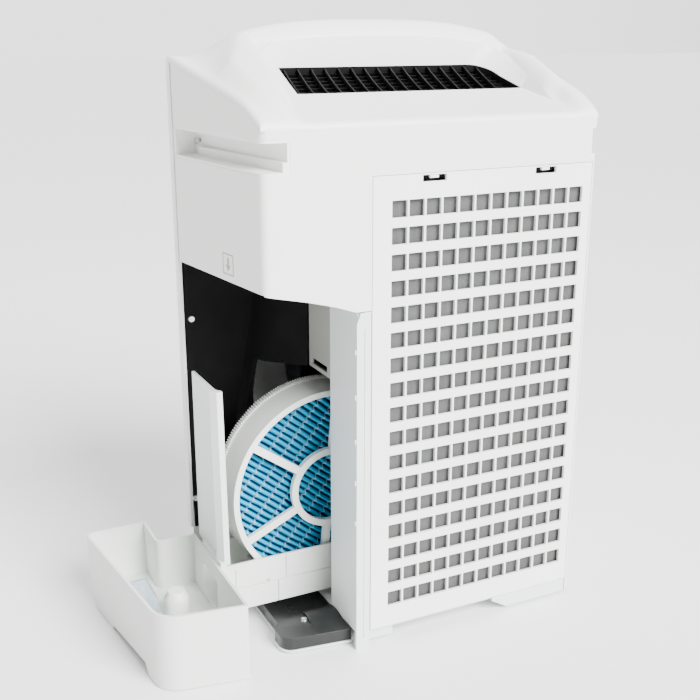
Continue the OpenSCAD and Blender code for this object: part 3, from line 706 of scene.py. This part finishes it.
def build_tab(node):
    """A latch tab: a white button, with a black plate behind its slot as painted shade of the
    recess.
    """
    low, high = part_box(node)
    middle = (low.x + high.x) / 2
    name = node + "_button"
    button = add_piece(name, box_mesh(name, (middle - BUTTON_HALF, low.y, low.z),
                                      (middle + BUTTON_HALF, high.y, high.z - BUTTON_DROP)), node)
    bevelled(button, 0.5)
    # painted shade: a black plate fills the slot behind the button where the recess lies in shade
    name = node + "_plate"
    plate = box_mesh(name, (low.x, low.y, low.z), (high.x, low.y + SHADE_PLATE_THICK, high.z))
    add_detail(name, plate, "liner_black", node)


for node in ("panel_tab_left", "panel_tab_right"):
    build_tab(node)


# ---- moulded arrow on the flank ------------------------------------------

ARROW_TOP, ARROW_BOTTOM, ARROW_NEAR, ARROW_FAR = 409, 389, 58, 37
ARROW_LINE = 1.1


def flank_plate(work, outline):
    """A thin raised plate on the flank, from the Y and Z of its corners."""
    rings = []
    for lift in (-0.2, 0.25):
        rings.append([vertex_in(work, half_width(y) + lift, y, z) for y, z in outline])
    work.faces.new(rings[1])
    for i in range(len(outline)):
        j = (i + 1) % len(outline)
        work.faces.new((rings[0][i], rings[0][j], rings[1][j], rings[1][i]))


def rectangle(y1, y2, top, bottom):
    return [(y1, top), (y2, top), (y2, bottom), (y1, bottom)]


def build_arrow():
    """A small framed arrow that points at the tray, raised on the cabinet's flank."""
    top, bottom, near, far, line = ARROW_TOP, ARROW_BOTTOM, ARROW_NEAR, ARROW_FAR, ARROW_LINE
    middle = (near + far) / 2
    work = bmesh.new()
    flank_plate(work, rectangle(far, near, top, top - line))
    flank_plate(work, rectangle(far, near, bottom + line, bottom))
    flank_plate(work, rectangle(far, far + line, top - line, bottom + line))
    flank_plate(work, rectangle(near - line, near, top - line, bottom + line))
    flank_plate(work, rectangle(middle - 1.6, middle + 1.6, top - 4, bottom + 9))
    flank_plate(work, [(middle - 5, bottom + 9), (middle + 5, bottom + 9), (middle, bottom + 3.6)])
    add_detail("flank_arrow", finished(work, "flank_arrow"), "cheek_grey", "main_casing")


build_arrow()


# ---- wheel media ---------------------------------------------------------

def build_wheel_media():
    """Pleated cloth in the wheel, its folds slanting across it."""
    low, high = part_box("wheel_media")
    centre = (low + high) / 2
    radius = (high.x - low.x) / 2 - 0.4 * MM
    pitch = PLEAT_PITCH
    along = Vector((math.cos(PLEAT_SLANT), 0, math.sin(PLEAT_SLANT)))
    across = Vector((-along.z, 0, along.x))
    levels = (0, 0.6, 1, 0.6)
    folds = int(2 * radius / (pitch / 4))
    steps = 36
    work = bmesh.new()
    rows = []
    for i in range(1, folds):
        u = -radius + i * pitch / 4
        reach = math.sqrt(max(0, radius * radius - u * u))
        y = PLEAT_FRONT - PLEAT_DEPTH * (1 - levels[i % 4])
        row = []
        for j in range(steps + 1):
            v = reach * (2 * j / steps - 1)
            wander = 0.3 * MM * math.sin(v * 150 + (i // 4) * 0.9)
            point = Vector((centre.x, y, centre.z)) + along * v + across * (u + wander)
            row.append(work.verts.new(point))
        rows.append(row)
    for a, b in zip(rows, rows[1:]):
        for j in range(steps):
            work.faces.new((a[j], a[j + 1], b[j + 1], b[j]))
    back = [work.verts.new((v.co.x, low.y, v.co.z)) for v in rows[0]]
    for j in range(steps):
        work.faces.new((rows[0][j], back[j], back[j + 1], rows[0][j + 1]))
    bmesh.ops.recalc_face_normals(work, faces=work.faces)
    mesh = finished(work, "wheel_cloth")
    smoothed(mesh, 70)
    add_piece("wheel_cloth", mesh, "wheel_media")


build_wheel_media()


# ---- room, lights and camera ---------------------------------------------

def build_floor():
    bpy.ops.mesh.primitive_plane_add(size=40)
    floor = bpy.context.object
    floor.name = "floor"
    shader = Shader("floor", (0.92, 0.92, 0.92), 0.6)
    shader.tinted(0.01, 2)
    floor.data.materials.append(shader.material)


def hang(data, place, target):
    """Links a light of the given data, turned from its place to its target."""
    light = bpy.data.objects.new(data.name, data)
    light.location = place
    aim = Vector(target) - Vector(place)
    light.rotation_euler = aim.to_track_quat("-Z", "Y").to_euler()
    bpy.context.scene.collection.objects.link(light)


def add_light(name, place, target, size, watts):
    """A soft square panel."""
    data = bpy.data.lights.new(name, "AREA")
    data.shape = "RECTANGLE"
    data.size = size
    data.size_y = size
    data.energy = watts
    hang(data, place, target)


def add_sun(place, strength):
    """A very wide, even light, so that the floor keeps much the same tone far off."""
    data = bpy.data.lights.new("sun", "SUN")
    data.energy = strength
    data.angle = math.radians(35)
    hang(data, place, (0, 0, 0))


def add_camera():
    """The photograph's viewpoint: behind the cabinet, a little above it."""
    data = bpy.data.cameras.new("camera")
    data.lens = 53.74
    data.sensor_width = 36
    camera = bpy.data.objects.new("camera", data)
    camera.location = (0.4457, 0.9497, 0.6083)
    forward = Vector((-0.4186, -0.8589, -0.2949))
    camera.rotation_euler = forward.to_track_quat("-Z", "Y").to_euler()
    bpy.context.scene.collection.objects.link(camera)
    bpy.context.scene.camera = camera


def light_world():
    """Soft surroundings, brightest beyond the front of the cabinet."""
    world = bpy.data.worlds.new("studio")
    world.use_nodes = True
    nodes, links = world.node_tree.nodes, world.node_tree.links
    direction = nodes.new("ShaderNodeSeparateXYZ")
    links.new(nodes.new("ShaderNodeTexCoord").outputs["Generated"], direction.inputs[0])
    level = nodes.new("ShaderNodeMapRange")
    for socket, number in (("From Min", -0.35), ("From Max", -0.85),
                           ("To Min", 0.75), ("To Max", 2.5)):
        level.inputs[socket].default_value = number
    links.new(direction.outputs[1], level.inputs["Value"])
    links.new(level.outputs[0], nodes["Background"].inputs["Strength"])
    nodes["Background"].inputs["Color"].default_value = (1, 1, 1, 1)
    bpy.context.scene.world = world


build_floor()
light_world()
add_light("key", (-0.7, 2.5, 1.7), (0, 0, 0.3), 1.6, 90)
add_light("top", (0, -0.3, 2.6), (0, 0, 0), 2.4, 30)
add_sun((-0.9, 2.4, 1.9), 9)
add_camera()
